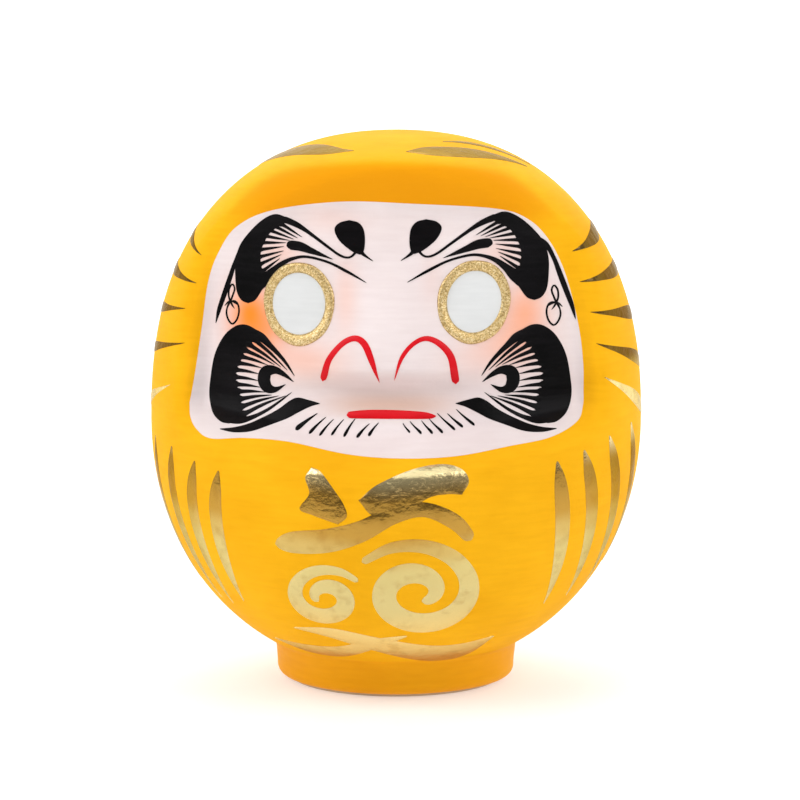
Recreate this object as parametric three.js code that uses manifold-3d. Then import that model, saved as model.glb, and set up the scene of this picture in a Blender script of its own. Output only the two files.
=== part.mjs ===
// Daruma doll, 120 mm tall: a hollow papier-mache shell in two halves, joined by a glued paper strip,
// standing on a clay foot with a paper disc pasted under it.
// Millimetres. +X is the viewer's right, the face looks along -Y, +Z is up, the floor is z = 0.

import * as THREE from 'three';
import { mergeVertices } from 'three/addons/utils/BufferGeometryUtils.js';
import Module from 'manifold-3d';

const wasm = await Module();
wasm.setup();

// ---- driving dimensions ----

const HEIGHT = 120;
const WIDTH = 107;
const DEPTH = 104.4;

const WIDEST_Z = 58;           // height of the widest section, seen from the front
const BELLY_Z = 43;            // height at which the belly stands furthest forward
const SHELL_BOTTOM_Z = 2;      // where the round bottom would close, were it not cut open
const HOOD_REACH = 36.8;       // how far forward the upright front of the hood stands
const HOOD_Z = 100;            // height from which the front is upright
const CROWN_DEPTH = 105;       // the crown's dome would reach this far forward at the belly
const HOOD_EDGE = 16;          // how sharply the front turns into the crown

const WALL = 2.2;              // papier-mache and its ground coat
const GAP = 0.3;               // between pieces that touch
const OPENING_RADIUS = 17;     // hole in the shell's bottom, where the form was drawn out

const FOOT_TOP_Z = 8.4;
const FOOT_TOP_RADIUS = 27.6;
const FOOT_BOTTOM_RADIUS = 26.2;
const FOOT_ROUNDING = 1.8;     // radius of the foot's lower edge
const PLUG_RADIUS = 15;        // clay pressed up through the opening
const PLUG_TOP_Z = 13;

const DISC_RADIUS = 23;
const DISC_THICKNESS = 0.5;

const STRIP_WIDTH = 14;        // front to back, over the joint
const STRIP_THICKNESS = 0.8;
const STRIP_BOTTOM_Z = 15;     // the strip's two ends

// the sunken face, measured on its own front view (x, z)
const FACE = {
  halfWidth: 42.5,             // at its middle height
  widening: 0.08,              // each side moves in by this per mm of height
  top: 108,
  bottom: 54.5,
  middleZ: 80,
  planeY: 34.2,                // depth of the face in front of the axis, at planeZ
  planeZ: 75,
  leanBack: 0.08,
  crossRadius: 62,             // curvature of the face from side to side
  shelf: 10,                   // the chin flares forward by this, from shelfTop down to shelfBottom
  shelfTop: 68,
  shelfBottom: 46,
};

// ---- the shell's surface ----

// An eased step from 0 at one value to 1 at another, in either direction.
function smooth(from, to, value) {
  const part = THREE.MathUtils.clamp((value - from) / (to - from), 0, 1);
  return part ** 2 * (3 - 2 * part);
}

const bell = (distance, width) => Math.exp(-((distance / width) ** 2));

// Half of a superellipse: its reach from the axis at height z.
function reach(z, widest, middle, up, upPower, down, downPower) {
  const above = z > middle;
  const power = above ? upPower : downPower;
  const part = Math.min(1, Math.abs(z - middle) / (above ? up : down));
  return widest * (1 - part ** power) ** (1 / power);
}

function sideReach(z, inset) {
  const up = HEIGHT - WIDEST_Z - inset;
  const down = WIDEST_Z - SHELL_BOTTOM_Z - inset;
  return reach(z, WIDTH / 2 - inset, WIDEST_Z, up, 2.3, down, 2.1);
}

function backReach(z, inset) {
  const up = HEIGHT - WIDEST_Z - inset;
  const down = WIDEST_Z - SHELL_BOTTOM_Z - inset;
  return reach(z, DEPTH / 2 - inset, WIDEST_Z, up, 2.6, down, 2.1);
}

// Reach of the belly, and of the front above it, which draws back to the upright hood.
function frontReach(z, inset) {
  const below = Math.min(1, Math.max(0, BELLY_Z - z) / (BELLY_Z - SHELL_BOTTOM_Z - inset));
  const drawnBack = (DEPTH / 2 - HOOD_REACH) * smooth(BELLY_Z, HOOD_Z, z);
  return (DEPTH / 2 - drawnBack - inset) * Math.sqrt(1 - below ** 2);
}

// Reach of the crown's dome.
function crownReach(z, inset) {
  const above = THREE.MathUtils.clamp((z - BELLY_Z) / (HEIGHT - BELLY_Z - inset), 0, 1);
  return (CROWN_DEPTH - inset) * Math.sqrt(1 - above ** 2);
}

// The smaller of two distances, eased where they are alike.
const softMin = (a, b, sharpness) => a * b / (a ** sharpness + b ** sharpness + 1e-30) ** (1 / sharpness);

// 1 on the sunken face, 0 outside it, with soft rims.
function faceMask(x, z) {
  const side = Math.abs(x);
  const sideEdge = FACE.halfWidth - FACE.widening * (z - FACE.middleZ);
  const topEdge = FACE.top - 0.5 * (side / 10) ** 2.1;
  const bottomEdge = FACE.bottom + 0.0026 * side ** 2;
  const insideSide = smooth(-3, 5.5, sideEdge - side);
  const insideChin = smooth(-3.5, 5.5, z - bottomEdge);
  const insideTop = smooth(-6, 5, topEdge - z);
  return insideSide * insideChin * insideTop;
}

// What stands out of the face: the broad nose, the cheeks, the lip and the brow ridges.
function features(x, z) {
  const side = Math.abs(x);
  const noseHeight = smooth(96, 74, z) * smooth(66.5, 72.5, z);
  const noseHalfWidth = 9 + 7 * smooth(90, 72, z);
  const nose = 4.6 * noseHeight * Math.exp(-((side / noseHalfWidth) ** 2.6));
  const cheek = 1.6 * bell(side - 25, 10) * bell(z - 72, 10);
  const lip = bell(side, 14) * bell(z - 63, 3);
  const brow = 0.9 * bell(side - 16, 14) * bell(z - 97, 4);
  return nose + cheek + lip + brow;
}

// y of the front surface at (x, z): the envelope, sunk to the face's own plane inside the mask. The
// envelope is the round crown cut off by the front, which is squarer in plan at the hood than at the belly.
function frontY(x, z, inset) {
  const across = Math.min(1, Math.abs(x) / Math.max(sideReach(z, inset), 1e-6));
  const squareness = 2 + 0.5 * smooth(70, 100, z);
  const front = frontReach(z, inset) * (1 - across ** squareness) ** (1 / squareness);
  const crown = crownReach(z, inset) * Math.sqrt(1 - across ** 2);
  const envelope = -softMin(front, crown, HOOD_EDGE);
  const chin = FACE.shelf * (1 - smooth(FACE.shelfBottom, FACE.shelfTop, z));
  const plane = FACE.planeY - FACE.leanBack * (z - FACE.planeZ) + chin;
  const faceY = x ** 2 / (2 * FACE.crossRadius) - plane + inset;
  const mask = faceMask(x, z);
  return envelope + mask * Math.max(faceY - envelope, 0) - mask * features(x, z);
}

// A point of the surface: turn 0 looks forward along -Y, climb runs from -1 (bottom) to 1 (crown).
function surfacePoint(turn, climb, inset) {
  const rise = Math.sin(Math.abs(climb) * Math.PI / 2);
  const extent = climb > 0 ? HEIGHT - WIDEST_Z : WIDEST_Z - SHELL_BOTTOM_Z;
  const power = climb > 0 ? 2.3 : 2.1;
  const z = WIDEST_Z + Math.sign(climb) * (extent - inset) * rise ** (2 / power);
  const x = sideReach(z, inset) * Math.sin(turn);
  const forward = Math.cos(turn);
  const y = forward > 0 ? frontY(x, z, inset) : -backReach(z, inset) * forward;
  return new THREE.Vector3(x, Math.abs(forward) < 1e-9 ? 0 : y, z);
}

// ---- solids ----

// A closed surface from rings of points, with one pole under the first ring and one over the last.
function ringsGeometry(rings, bottomPole, topPole) {
  const columns = rings[0].length;
  const points = [bottomPole, ...rings.flat(), topPole];
  const indices = [];
  for (let c = 0; c < columns; c += 1) {
    const next = (c + 1) % columns;
    indices.push(0, 1 + next, 1 + c);
    for (let r = 0; r + 1 < rings.length; r += 1) {
      const low = 1 + r * columns;
      const high = low + columns;
      indices.push(low + c, low + next, high + next, low + c, high + next, high + c);
    }
    const last = 1 + (rings.length - 1) * columns;
    indices.push(last + c, last + next, points.length - 1);
  }
  const geometry = new THREE.BufferGeometry().setFromPoints(points);
  geometry.setIndex(indices);
  return geometry;
}

// The whole doll's body as one filled solid, shrunk by inset on every side.
function bodyGeometry(inset, columns, rows) {
  const rings = [];
  for (let r = 1; r < rows; r += 1) {
    const climb = -1 + 2 * r / rows;
    const ring = [];
    for (let c = 0; c < columns; c += 1) {
      ring.push(surfacePoint(2 * Math.PI * c / columns, climb, inset));
    }
    rings.push(ring);
  }
  const bottomPole = new THREE.Vector3(0, 0, SHELL_BOTTOM_Z + inset);
  const topPole = new THREE.Vector3(0, 0, HEIGHT - inset);
  return ringsGeometry(rings, bottomPole, topPole);
}

// A solid from a closed geometry whose shared vertices are merged.
function solid(geometry) {
  const bare = geometry.clone();
  bare.deleteAttribute('normal');
  bare.deleteAttribute('uv');
  const merged = mergeVertices(bare, 1e-4);
  const vertProperties = new Float32Array(merged.attributes.position.array);
  const triVerts = new Uint32Array(merged.index.array);
  return new wasm.Manifold(new wasm.Mesh({ numProp: 3, vertProperties, triVerts }));
}

function geometryOf(body) {
  const mesh = body.getMesh();
  const geometry = new THREE.BufferGeometry();
  geometry.setAttribute('position', new THREE.BufferAttribute(mesh.vertProperties, 3));
  geometry.setIndex(new THREE.BufferAttribute(mesh.triVerts, 1));
  return geometry;
}

// A block that holds everything between two heights and two depths.
function block(lowY, highY, lowZ, highZ) {
  const geometry = new THREE.BoxGeometry(2 * WIDTH, highY - lowY, highZ - lowZ);
  geometry.translate(0, (lowY + highY) / 2, (lowZ + highZ) / 2);
  return solid(geometry);
}

// A solid of revolution about Z from (radius, z) pairs that start and end on the axis.
function turned(profile, segments) {
  const geometry = new THREE.LatheGeometry(profile.map(([r, z]) => new THREE.Vector2(r, z)), segments);
  geometry.rotateX(Math.PI / 2);
  return solid(geometry);
}

function cylinder(radius, lowZ, highZ) {
  const geometry = new THREE.CylinderGeometry(radius, radius, highZ - lowZ, 48);
  geometry.rotateX(Math.PI / 2);
  geometry.translate(0, 0, (lowZ + highZ) / 2);
  return solid(geometry);
}

// ---- pieces ----

const outer = solid(bodyGeometry(0, 64, 40));
const hollow = solid(bodyGeometry(WALL, 40, 26));
const bottomHole = cylinder(OPENING_RADIUS, -10, 20);
const shell = outer.subtract(hollow).subtract(bottomHole);

const frontHalf = block(-WIDTH, -GAP / 2, -HEIGHT, 2 * HEIGHT);
const backHalf = block(GAP / 2, WIDTH, -HEIGHT, 2 * HEIGHT);

// The strip lies against the inside of the shell, across the joint, from one flank over the crown.
function seamStrip() {
  const outside = solid(bodyGeometry(WALL + GAP, 40, 26));
  const inside = solid(bodyGeometry(WALL + GAP + STRIP_THICKNESS, 40, 26));
  const band = block(-STRIP_WIDTH / 2, STRIP_WIDTH / 2, STRIP_BOTTOM_Z, HEIGHT);
  return outside.subtract(inside).intersect(band);
}

// The clay foot: a dish whose seat follows the shell's bottom, with a plug up through the opening.
function clayFoot() {
  const bottom = DISC_THICKNESS + GAP;
  const edge = [];
  for (let step = 0; step <= 4; step += 1) {
    const turn = step / 4 * Math.PI / 2;
    edge.push([
      FOOT_BOTTOM_RADIUS - FOOT_ROUNDING * (1 - Math.sin(turn)),
      bottom + FOOT_ROUNDING * (1 - Math.cos(turn)),
    ]);
  }
  const dish = turned([[0, bottom], ...edge, [FOOT_TOP_RADIUS, FOOT_TOP_Z], [0, FOOT_TOP_Z]], 48);
  const plug = cylinder(PLUG_RADIUS, bottom + DISC_THICKNESS, PLUG_TOP_Z);
  return dish.subtract(solid(bodyGeometry(-GAP, 64, 40))).add(plug);
}

const bottomDisc = cylinder(DISC_RADIUS, 0, DISC_THICKNESS);

// ---- materials ----

const yellowPaper = new THREE.MeshStandardMaterial({ color: 0xf7b821, roughness: 0.5, metalness: 0 });
const barePaper = new THREE.MeshStandardMaterial({ color: 0xd9cdb4, roughness: 0.9, metalness: 0 });
const clay = new THREE.MeshStandardMaterial({ color: 0xe29015, roughness: 0.6, metalness: 0 });

// ---- assembly ----

const doll = new THREE.Group();

function addPiece(name, body, material) {
  const mesh = new THREE.Mesh(geometryOf(body), material);
  mesh.name = name;
  doll.add(mesh);
}

addPiece('front_shell', shell.intersect(frontHalf), yellowPaper);
addPiece('back_shell', shell.intersect(backHalf), yellowPaper);
addPiece('seam_strip', seamStrip(), barePaper);
addPiece('clay_foot', clayFoot(), clay);
addPiece('bottom_paper', bottomDisc, barePaper);

export default doll;
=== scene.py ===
import bmesh
import bpy
import numpy as np
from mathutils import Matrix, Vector


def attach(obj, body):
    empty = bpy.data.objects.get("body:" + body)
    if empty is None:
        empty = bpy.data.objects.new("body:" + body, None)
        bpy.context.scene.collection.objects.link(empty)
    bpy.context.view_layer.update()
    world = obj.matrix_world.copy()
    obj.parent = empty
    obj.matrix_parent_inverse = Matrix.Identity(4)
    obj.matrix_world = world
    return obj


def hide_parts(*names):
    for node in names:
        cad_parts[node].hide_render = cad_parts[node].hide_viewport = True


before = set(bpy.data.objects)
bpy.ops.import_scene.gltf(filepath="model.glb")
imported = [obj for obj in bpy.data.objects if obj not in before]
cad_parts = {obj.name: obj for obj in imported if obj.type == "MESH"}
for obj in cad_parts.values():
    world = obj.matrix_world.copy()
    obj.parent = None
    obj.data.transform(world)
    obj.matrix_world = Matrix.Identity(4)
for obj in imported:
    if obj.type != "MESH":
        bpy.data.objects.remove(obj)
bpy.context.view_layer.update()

# ---- shell ----
# The doll's body is a skin of pasted paper with a ground coat and yellow paint. It was cut off its form in
# two halves, front and back, and joined again over a paper strip. The front half has the sunken face in it.

MM = 0.001
HEIGHT, WIDTH, DEPTH = 120.0, 107.0, 104.4
WIDEST_Z = 58.0        # height of the widest section, seen from the front
BELLY_Z = 43.0         # height at which the belly stands furthest forward
BOTTOM_Z = 2.0         # where the round bottom would close
HOOD_REACH = 36.8      # how far forward the upright front of the hood stands
HOOD_Z = 100.0         # height from which the front is upright
CROWN_DEPTH = 105.0    # how far forward the crown's dome would reach, were it carried down to the belly
HOOD_EDGE = 16         # how sharply the front turns into the crown
WALL = 2.2
SEAM_GAP = 0.02        # hairline left between the halves
OPENING_Z = 4.3        # lowest ring of the skin, round the opening that the foot closes
FACE_HALF_WIDTH, FACE_TOP_Z, FACE_CHIN_Z = 42.5, 108.0, 54.5       # the sunken face's rims
FACE_AHEAD, FACE_LEAN = 34.2, 0.08       # how far forward its plane stands at mid-height, and its slope
FACE_HOLLOW = 124.0    # across the face, the plane falls back by x^2 over this
CHIN_FLARE = 10.0      # how much further forward the plane comes at the chin
NOSE_OUT, CHEEK_OUT, LIP_OUT, BROW_OUT = 4.6, 1.6, 1.0, 0.9        # how far they stand out of the face


def eased(start, end, value):
    """A step from 0 at start to 1 at end, flat at both ends: 3t^2 - 2t^3 of the part t of the way across."""
    part = np.clip((value - start) / (end - start), 0, 1)
    return part ** 2 * (3 - 2 * part)


def bell(distance, width):
    """A smooth bump, 1 at no distance: e to the minus squared ratio of distance to width."""
    return np.exp(-(distance / width) ** 2)


def superellipse(z, widest, middle, up, up_power, down, down_power):
    """Reach from the axis at height z: the widest times (1 - t^n)^(1/n), where t is the part of the way from
    the middle height to the top or the bottom, and n is the power of that end."""
    above = z > middle
    power = np.where(above, up_power, down_power)
    part = np.clip(np.abs(z - middle) / np.where(above, up, down), 0, 1)
    return widest * (1 - part ** power) ** (1 / power)


def side_reach(z, inset=0.0):
    """Half width of the outline seen from the front: a superellipse, fuller than round towards the crown."""
    return superellipse(z, WIDTH / 2 - inset, WIDEST_Z, HEIGHT - WIDEST_Z - inset, 2.3,
                        WIDEST_Z - BOTTOM_Z - inset, 2.1)


def back_reach(z, inset=0.0):
    """Reach of the back seen from the side: a superellipse like the outline's, fuller still at the crown."""
    return superellipse(z, DEPTH / 2 - inset, WIDEST_Z, HEIGHT - WIDEST_Z - inset, 2.6,
                        WIDEST_Z - BOTTOM_Z - inset, 2.1)


def front_reach(z, inset=0.0):
    """Reach of the belly, a quarter ellipse, and of the front above it, which draws back to the upright hood
    in one eased step."""
    below = np.clip((BELLY_Z - z) / (BELLY_Z - BOTTOM_Z - inset), 0, 1)
    drawn_back = (DEPTH / 2 - HOOD_REACH) * eased(BELLY_Z, HOOD_Z, z)
    return (DEPTH / 2 - drawn_back - inset) * np.sqrt(1 - below ** 2)


def crown_reach(z, inset=0.0):
    """Reach of the crown's dome: a quarter ellipse from the belly's height to the top."""
    above = np.clip((z - BELLY_Z) / (HEIGHT - BELLY_Z - inset), 0, 1)
    return (CROWN_DEPTH - inset) * np.sqrt(1 - above ** 2)


def face_mask(x, z):
    """1 on the sunken face and 0 outside it: the product of an eased step across each side rim, which leans
    in, the chin rim, a shallow curve, and the brow rim, which falls to the sides."""
    side = np.abs(x)
    side_edge = FACE_HALF_WIDTH - 0.08 * (z - 80)
    top_edge = FACE_TOP_Z - 0.5 * (side / 10) ** 2.1
    chin_edge = FACE_CHIN_Z + 0.0026 * side ** 2
    return eased(-3, 5.5, side_edge - side) * eased(-3.5, 5.5, z - chin_edge) * eased(-6, 5, top_edge - z)


def features(x, z):
    """How far the nose, cheeks, lip and brow ridges stand out of the face: a flat-topped bump for the broad
    nose, easing in from above and out quickly below, and plain bumps for the rest."""
    side = np.abs(x)
    nose_height = eased(96, 74, z) * eased(66.5, 72.5, z)
    nose_half_width = 9 + 7 * eased(90, 72, z)
    nose = NOSE_OUT * nose_height * np.exp(-(side / nose_half_width) ** 2.6)
    cheek = CHEEK_OUT * bell(side - 25, 10) * bell(z - 72, 10)
    lip = LIP_OUT * bell(side, 14) * bell(z - 63, 3)
    brow = BROW_OUT * bell(side - 16, 14) * bell(z - 97, 4)
    return nose + cheek + lip + brow


def hand_dents(x, z):
    """The slow unevenness of pasted paper: three crossed waves of different lengths, 0.2 mm high together."""
    return (0.09 * np.sin(x * 0.19 + 1.1) * np.sin(z * 0.15 + 0.4)
            + 0.06 * np.sin(x * 0.33 + z * 0.21 + 2.0) + 0.05 * np.sin(x * 0.12 - z * 0.41))


def front_skin(x, z, inset=0.0):
    """Points of the front half at (x, z) of the front view. The envelope is the smaller, eased, of two
    reaches: the front's times (1 - across^n)^(1/n), where n grows from 2 at the belly to 2.5 at the hood, and
    the crown's times sqrt(1 - across^2). Inside the mask it gives way to the face's own leaning, slightly
    round plane, which flares forward at the chin, less the features."""
    across = np.clip(np.abs(x) / np.maximum(side_reach(z, inset), 1e-6), 0, 1)
    square = 2 + 0.5 * eased(70, 100, z)
    front = front_reach(z, inset) * (1 - across ** square) ** (1 / square)
    crown = crown_reach(z, inset) * np.sqrt(1 - across ** 2)
    envelope = -front * crown / (front ** HOOD_EDGE + crown ** HOOD_EDGE + 1e-30) ** (1 / HOOD_EDGE)
    envelope -= hand_dents(x, z) * np.sqrt(1 - across ** 2)
    chin = CHIN_FLARE * (1 - eased(46, 68, z))
    plane = FACE_AHEAD - FACE_LEAN * (z - 75) + chin
    face = x ** 2 / FACE_HOLLOW - plane + inset
    mask = face_mask(x, z)
    y = envelope + mask * np.maximum(face - envelope, 0) - mask * features(x, z)
    return np.stack([x, y, z], axis=-1)


def back_skin(x, z, inset=0.0):
    """Points of the back half: back_reach times sqrt(1 - (x / side_reach)^2), with the same slow dents."""
    across = np.clip(np.abs(x) / np.maximum(side_reach(z, inset), 1e-6), 0, 1)
    y = (back_reach(z, inset) + hand_dents(x + 40, z)) * np.sqrt(1 - across ** 2)
    return np.stack([x, y, z], axis=-1)


def row_heights(inset):
    """Heights of the grid's rows: even and close over the face, wider apart over the belly, and crowding
    towards the crown as 1 - t^2."""
    top = HEIGHT - inset
    belly_rows = np.linspace(OPENING_Z + inset / 2, 51, 60, endpoint=False)
    face_rows = np.linspace(51, 109, 180, endpoint=False)
    crown_rows = top - (top - 109) * np.linspace(1, 0, 51) ** 2
    return np.concatenate([belly_rows, face_rows, crown_rows])


def half_grid(skin, inset, columns):
    """A grid over one half: x is side_reach times the sine of an even turn from the left side to the right."""
    turn = np.linspace(-np.pi / 2, np.pi / 2, columns)
    z = np.repeat(row_heights(inset)[:, None], columns, axis=1)
    x = side_reach(z, inset) * np.sin(turn)[None, :]
    return skin(x, z, inset)


def grid_quads(rows, columns):
    """Quads of a grid, each round its four points: along the row first, then up to the next row."""
    index = np.arange(rows * columns).reshape(rows, columns)
    return np.stack([index[:-1, :-1], index[:-1, 1:], index[1:, 1:], index[1:, :-1]], axis=-1).reshape(-1, 4)


def grid_edge(rows, columns):
    """The points round a grid's edge, in order, without its first point again at the end."""
    index = np.arange(rows * columns).reshape(rows, columns)
    return np.concatenate([index[0, :], index[1:, -1], index[-1, -2::-1], index[-2:0:-1, 0]])


def shell_faces(rows, columns, skip):
    """Faces of a wall: quads outside, quads on a grid inside that keeps one row and column in every skip, and
    round the edge one face from each inner side to the skip outer sides it faces."""
    outer_edge = grid_edge(rows, columns)
    few_rows, few_columns = (rows - 1) // skip + 1, (columns - 1) // skip + 1
    inner_edge = grid_edge(few_rows, few_columns) + rows * columns
    inner = grid_quads(few_rows, few_columns)[:, ::-1] + rows * columns
    steps = np.arange(skip, -1, -1)[None, :] + skip * np.arange(len(inner_edge))[:, None]
    rim = np.concatenate([outer_edge[steps % len(outer_edge)], inner_edge[:, None],
                          np.roll(inner_edge, -1)[:, None]], axis=1)
    return [*grid_quads(rows, columns).tolist(), *inner.tolist(), *rim.tolist()]


def mesh_object(name, points, faces, material, weld=1e-6):
    """An object at the origin from points in millimetres and faces, its doubled points merged, its shading
    smooth except over sharp edges."""
    mesh = bpy.data.meshes.new(name)
    mesh.from_pydata((points * MM).tolist(), [], faces)
    work = bmesh.new()
    work.from_mesh(mesh)
    bmesh.ops.remove_doubles(work, verts=work.verts, dist=weld)
    work.to_mesh(mesh)
    work.free()
    obj = bpy.data.objects.new(name, mesh)
    bpy.context.scene.collection.objects.link(obj)
    mesh.shade_smooth()
    mesh.set_sharp_from_angle(angle=np.radians(50))
    mesh.materials.append(material)
    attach(obj, "root")
    return obj


def noise_group():
    """A shader group: soft mottling (Tone) and fine height (Height) of a brushed coat over paper. Streaks run
    along X, as the brush went round the doll."""
    group = bpy.data.node_groups.new("brushed_coat", "ShaderNodeTree")
    for name, kind, start in (("Grain size", "NodeSocketFloat", 900.0), ("Streaks", "NodeSocketFloat", 0.5)):
        group.interface.new_socket(name, in_out="INPUT", socket_type=kind).default_value = start
    group.interface.new_socket("Tone", in_out="OUTPUT", socket_type="NodeSocketFloat")
    group.interface.new_socket("Height", in_out="OUTPUT", socket_type="NodeSocketFloat")
    nodes, links = group.nodes, group.links
    entry = nodes.new("NodeGroupInput")
    leave = nodes.new("NodeGroupOutput")
    place = nodes.new("ShaderNodeTexCoord")
    mottle = nodes.new("ShaderNodeTexNoise")
    mottle.inputs["Scale"].default_value = 55
    mottle.inputs["Detail"].default_value = 5
    links.new(place.outputs["Object"], mottle.inputs["Vector"])
    squeeze = nodes.new("ShaderNodeMapping")
    squeeze.inputs["Scale"].default_value = (0.12, 0.12, 1.0)
    links.new(place.outputs["Object"], squeeze.inputs["Vector"])
    streak = nodes.new("ShaderNodeTexNoise")
    streak.inputs["Scale"].default_value = 1100
    streak.inputs["Detail"].default_value = 3
    links.new(squeeze.outputs["Vector"], streak.inputs["Vector"])
    grain = nodes.new("ShaderNodeTexNoise")
    grain.inputs["Detail"].default_value = 4
    links.new(place.outputs["Object"], grain.inputs["Vector"])
    links.new(entry.outputs["Grain size"], grain.inputs["Scale"])
    both = nodes.new("ShaderNodeMix")
    links.new(entry.outputs["Streaks"], both.inputs["Factor"])
    links.new(grain.outputs["Fac"], both.inputs["A"])
    links.new(streak.outputs["Fac"], both.inputs["B"])
    links.new(both.outputs["Result"], leave.inputs["Height"])
    tone = nodes.new("ShaderNodeMix")
    tone.inputs["Factor"].default_value = 0.35
    links.new(mottle.outputs["Fac"], tone.inputs["A"])
    links.new(streak.outputs["Fac"], tone.inputs["B"])
    links.new(tone.outputs["Result"], leave.inputs["Tone"])
    return group


brushed_coat = noise_group()


def ranged(nodes, links, value, start, end, low=0.0, high=1.0, kind="LINEAR"):
    """Carries a value from low, where it is at start, to high at end, and holds it there beyond them."""
    node = nodes.new("ShaderNodeMapRange")
    node.interpolation_type = kind
    for name, number in (("From Min", start), ("From Max", end), ("To Min", low), ("To Max", high)):
        node.inputs[name].default_value = number
    links.new(value, node.inputs["Value"])
    return node.outputs["Result"]


def coat_material(name, low, high, roughness, bump, streaks=0.5, grain=900.0, shine=0.3):
    """A painted finish: base colour between low and high by the coat's tone, bump from its height. Streaks is
    the brush's share of that height, grain the fineness of the rest, and shine the specular level."""
    material = bpy.data.materials.new(name)
    material.use_nodes = True
    nodes, links = material.node_tree.nodes, material.node_tree.links
    shader = nodes["Principled BSDF"]
    coat = nodes.new("ShaderNodeGroup")
    coat.node_tree = brushed_coat
    coat.inputs["Grain size"].default_value = grain
    coat.inputs["Streaks"].default_value = streaks
    colour = nodes.new("ShaderNodeMix")
    colour.data_type = "RGBA"
    colour.inputs["A"].default_value = (*low, 1)
    colour.inputs["B"].default_value = (*high, 1)
    links.new(ranged(nodes, links, coat.outputs["Tone"], 0.35, 0.65), colour.inputs["Factor"])
    links.new(colour.outputs["Result"], shader.inputs["Base Color"])
    relief = nodes.new("ShaderNodeBump")
    relief.inputs["Strength"].default_value = bump
    relief.inputs["Distance"].default_value = 0.0003
    links.new(coat.outputs["Height"], relief.inputs["Height"])
    links.new(relief.outputs["Normal"], shader.inputs["Normal"])
    shader.inputs["Roughness"].default_value = roughness
    shader.inputs["Specular IOR Level"].default_value = shine
    return material


def tint(material, mask, colour):
    """Draws a material's base colour towards another, point by point, by a mask kept in the mesh."""
    nodes, links = material.node_tree.nodes, material.node_tree.links
    base = nodes["Principled BSDF"].inputs["Base Color"]
    share = nodes.new("ShaderNodeAttribute")
    share.attribute_name = mask
    tinted = nodes.new("ShaderNodeMix")
    tinted.data_type = "RGBA"
    tinted.inputs["B"].default_value = (*colour, 1)
    links.new(share.outputs["Fac"], tinted.inputs["Factor"])
    links.new(base.links[0].from_socket, tinted.inputs["A"])
    links.new(tinted.outputs["Result"], base)


# Under the hood's edge the coat is painted a deeper orange: painted shade, where that band faces down, out of
# the light.
yellow = coat_material("yellow_paint", (0.83, 0.392, 0.006), (0.93, 0.466, 0.010), 0.62, 0.5, shine=0.03)
tint(yellow, "hood_shade", (0.80, 0.30, 0.004))


def hood_shade_over(x, z):
    """How much painted shade there is: a band under the hood's edge, which runs level in the middle and falls
    with the fourth power of x, fading to the sides."""
    edge = 114.7 - 8e-6 * x ** 4
    return 0.85 * eased(99, 105, z) * eased(edge + 1.2, edge - 1.4, z) * eased(44, 24, np.abs(x))


def points_of(obj):
    """A mesh's points in millimetres."""
    places = np.empty(len(obj.data.vertices) * 3)
    obj.data.vertices.foreach_get("co", places)
    return places.reshape(-1, 3) / MM


def store(obj, name, values):
    """Keeps one value per point in the mesh, for its material to read."""
    obj.data.attributes.new(name, "FLOAT", "POINT").data.foreach_set("value", values)


COLUMNS, SKIP = 301, 5
ROWS = len(row_heights(0.0))
faces = shell_faces(ROWS, COLUMNS, SKIP)
for name, skin, y_side in (("front_skin", front_skin, -1), ("back_skin", back_skin, 1)):
    outside = half_grid(skin, 0.0, COLUMNS)
    inside = half_grid(skin, WALL, COLUMNS)[::SKIP, ::SKIP]
    points = np.concatenate([outside.reshape(-1, 3), inside.reshape(-1, 3)])
    points[:, 1] += y_side * SEAM_GAP / 2
    turned = faces if y_side < 0 else [side[::-1] for side in faces]
    piece = mesh_object(name, points, turned, yellow)
    x, y, z = points_of(piece).T
    # The painted shade under the hood's edge goes on the front half only.
    store(piece, "hood_shade", hood_shade_over(x, z) * (y < 0))
    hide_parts("front_shell" if y_side < 0 else "back_shell")

# ---- foot ----
# A weighted clay dish glued under the shell, with a plug up through the hole in its bottom. It was shaped by
# hand and painted with the body, so its edge wanders a little.

FOOT_BOTTOM_RADIUS, FOOT_BOTTOM_Z, FOOT_ROUNDING = 26.2, 0.7, 2.4
FOOT_RIM_Z, FOOT_EDGE_Z = 9.0, 8.3
SEAT_Z = (8.0, 7.0, 6.0, 5.0, 4.4)       # rings of the seat that the shell is glued to
PLUG = ((15.2, 4.0), (15.0, 11.5), (14.0, 12.6), (0.01, 12.9))      # radius and height, up and over the plug


def skin_radius(angle, z):
    """The skin's distance from the axis at an angle from the front, an ellipse of the two reaches there:
    1 / sqrt((sin / side)^2 + (cos / depth)^2)."""
    depth = np.where(np.cos(angle) > 0, front_reach(z), back_reach(z))
    return 1 / np.sqrt((np.sin(angle) / side_reach(z)) ** 2 + (np.cos(angle) / depth) ** 2)


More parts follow.
